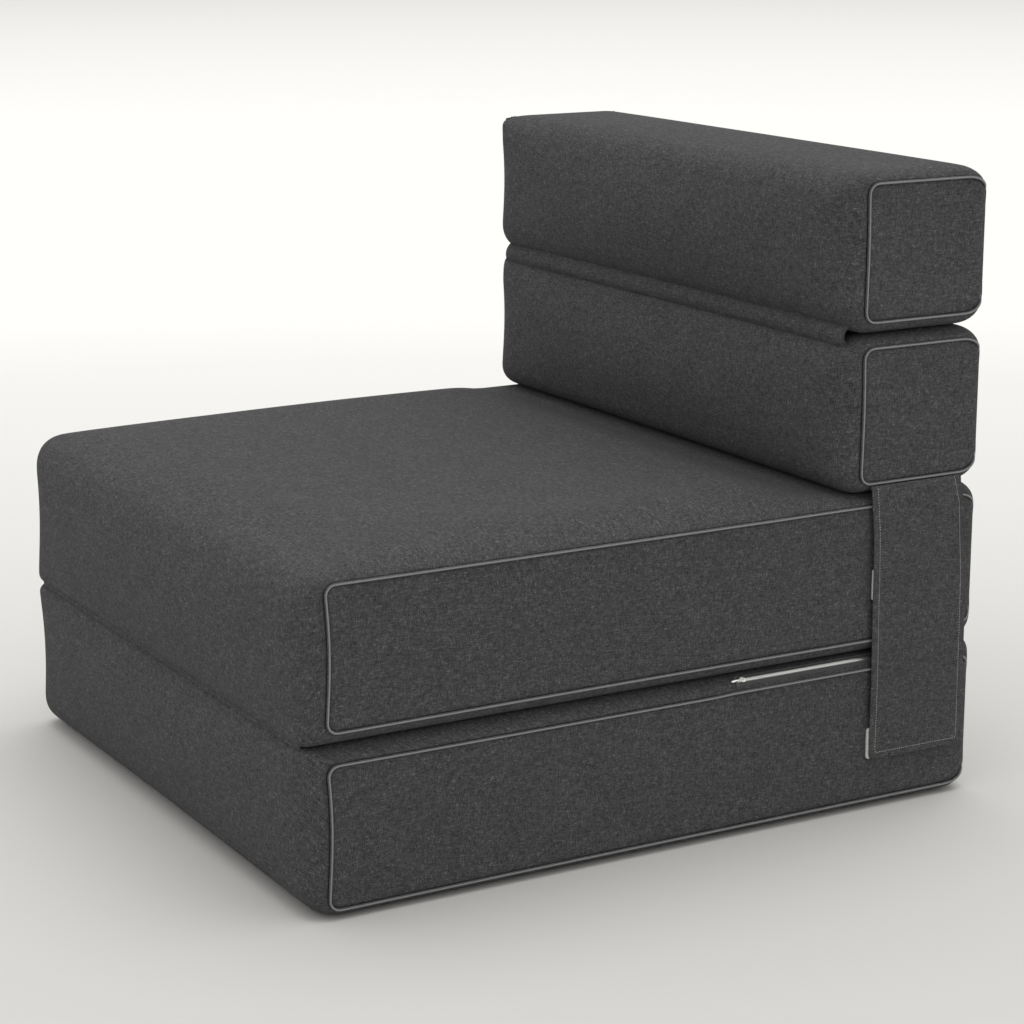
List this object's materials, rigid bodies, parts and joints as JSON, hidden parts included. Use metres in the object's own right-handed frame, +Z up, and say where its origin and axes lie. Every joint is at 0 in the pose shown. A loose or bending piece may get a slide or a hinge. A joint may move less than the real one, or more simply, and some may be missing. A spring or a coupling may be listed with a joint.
{
  "type": "convertible chair bed",
  "caption": "Folding foam chair bed: two stacked seat blocks and two back blocks joined by fabric hinges, with side flaps, that unfolds into a flat single bed.",
  "frame": {"origin": "under the middle of the lower seat block, on the floor", "axes": "+Z up, -Y towards the front of the seat, +X to the right as seen from the front"},
  "size_m": [0.7544, 0.82, 0.6949],
  "materials": {
    "linen_cover": "matte",
    "piping": "matte",
    "hinge_strip": "matte",
    "flap": "matte",
    "foam": "matte",
    "hook_patch": "matte",
    "loop_patch": "matte",
    "zip_tape": "matte",
    "zip_metal": "satin"
  },
  "bodies": {
    "lower_seat_block": {"lower_seat_foam": "foam", "lower_seat_cover": "linen_cover", "lower_seat_end_panel_right": "linen_cover", "lower_seat_end_panel_left": "linen_cover", "lower_seat_piping_right": "piping", "lower_seat_piping_left": "piping", "lower_seat_zip_tape": "zip_tape", "lower_seat_zip_teeth": "zip_metal", "seat_hinge_strip": "hinge_strip", "lower_seat_loops_right": "loop_patch", "lower_seat_loops_left": "loop_patch"},
    "upper_seat_block": {"upper_seat_foam": "foam", "upper_seat_cover": "linen_cover", "upper_seat_end_panel_right": "linen_cover", "upper_seat_end_panel_left": "linen_cover", "upper_seat_piping_right": "piping", "upper_seat_piping_left": "piping", "upper_seat_zip_tape": "zip_tape", "upper_seat_zip_teeth": "zip_metal", "rear_hinge_strip": "hinge_strip", "upper_seat_loops_right": "loop_patch", "upper_seat_loops_left": "loop_patch"},
    "lower_back_block": {"lower_back_foam": "foam", "lower_back_cover": "linen_cover", "lower_back_end_panel_right": "linen_cover", "lower_back_end_panel_left": "linen_cover", "lower_back_piping_right": "piping", "lower_back_piping_left": "piping", "lower_back_zip_tape": "zip_tape", "lower_back_zip_teeth": "zip_metal", "back_hinge_strip": "hinge_strip"},
    "upper_back_block": {"upper_back_foam": "foam", "upper_back_cover": "linen_cover", "upper_back_end_panel_right": "linen_cover", "upper_back_end_panel_left": "linen_cover", "upper_back_piping_right": "piping", "upper_back_piping_left": "piping", "upper_back_zip_tape": "zip_tape", "upper_back_zip_teeth": "zip_metal"},
    "right_flap": {"flap_right": "flap", "flap_hooks_right": "hook_patch"},
    "left_flap": {"flap_left": "flap", "flap_hooks_left": "hook_patch"},
    "lower_seat_slider": {"lower_seat_zip_slider": "zip_metal"},
    "lower_seat_pull": {"lower_seat_zip_pull": "zip_metal"},
    "upper_seat_slider": {"upper_seat_zip_slider": "zip_metal"},
    "upper_seat_pull": {"upper_seat_zip_pull": "zip_metal"},
    "lower_back_slider": {"lower_back_zip_slider": "zip_metal"},
    "lower_back_pull": {"lower_back_zip_pull": "zip_metal"},
    "upper_back_slider": {"upper_back_zip_slider": "zip_metal"},
    "upper_back_pull": {"upper_back_zip_pull": "zip_metal"}
  },
  "joints": [
    {"name": "seat_fold", "type": "hinge", "parent": "lower_seat_block", "child": "upper_seat_block", "pos_m": [0, -0.4103, 0.1758], "axis": [1, 0, 0], "range_deg": [0, 180]},
    {"name": "back_fold", "type": "hinge", "parent": "upper_seat_block", "child": "lower_back_block", "pos_m": [0, 0.4103, 0.3519], "axis": [-1, 0, 0], "range_deg": [0, 180]},
    {"name": "head_fold", "type": "hinge", "parent": "lower_back_block", "child": "upper_back_block", "pos_m": [0, 0.2187, 0.5231], "axis": [1, 0, 0], "range_deg": [0, 180]},
    {"name": "right_flap_lift", "type": "hinge", "parent": "lower_back_block", "child": "right_flap", "pos_m": [0.3754, 0, 0.3626], "axis": [0, -1, 0], "range_deg": [0, 165]},
    {"name": "left_flap_lift", "type": "hinge", "parent": "lower_back_block", "child": "left_flap", "pos_m": [-0.3754, 0, 0.3626], "axis": [0, 1, 0], "range_deg": [0, 165]},
    {"name": "lower_seat_zip_slide", "type": "slide", "parent": "lower_seat_block", "child": "lower_seat_slider", "axis": [0, 1, 0], "range_m": [0, 0.272]},
    {"name": "lower_seat_pull_turn", "type": "hinge", "parent": "lower_seat_slider", "child": "lower_seat_pull", "pos_m": [0.36929, 0.102, 0.17379], "axis": [-0.7071, 0, 0.7071], "range_deg": [0, 150]},
    {"name": "upper_seat_zip_slide", "type": "slide", "parent": "upper_seat_block", "child": "upper_seat_slider", "axis": [0, 1, 0], "range_m": [0, 0.272]},
    {"name": "upper_seat_pull_turn", "type": "hinge", "parent": "upper_seat_slider", "child": "upper_seat_pull", "pos_m": [-0.36929, 0.102, 0.34989], "axis": [-0.7071, 0, -0.7071], "range_deg": [0, 150]},
    {"name": "lower_back_zip_slide", "type": "slide", "parent": "lower_back_block", "child": "lower_back_slider", "axis": [0, 1, 0], "range_m": [0, 0.134]},
    {"name": "lower_back_pull_turn", "type": "hinge", "parent": "lower_back_slider", "child": "lower_back_pull", "pos_m": [-0.36929, 0.2475, 0.52109], "axis": [-0.7071, 0, -0.7071], "range_deg": [0, 150]},
    {"name": "upper_back_zip_slide", "type": "slide", "parent": "upper_back_block", "child": "upper_back_slider", "axis": [0, 1, 0], "range_m": [0, 0.134]},
    {"name": "upper_back_pull_turn", "type": "hinge", "parent": "upper_back_slider", "child": "upper_back_pull", "pos_m": [-0.36929, 0.2475, 0.69229], "axis": [-0.7071, 0, -0.7071], "range_deg": [0, 150]}
  ]
}
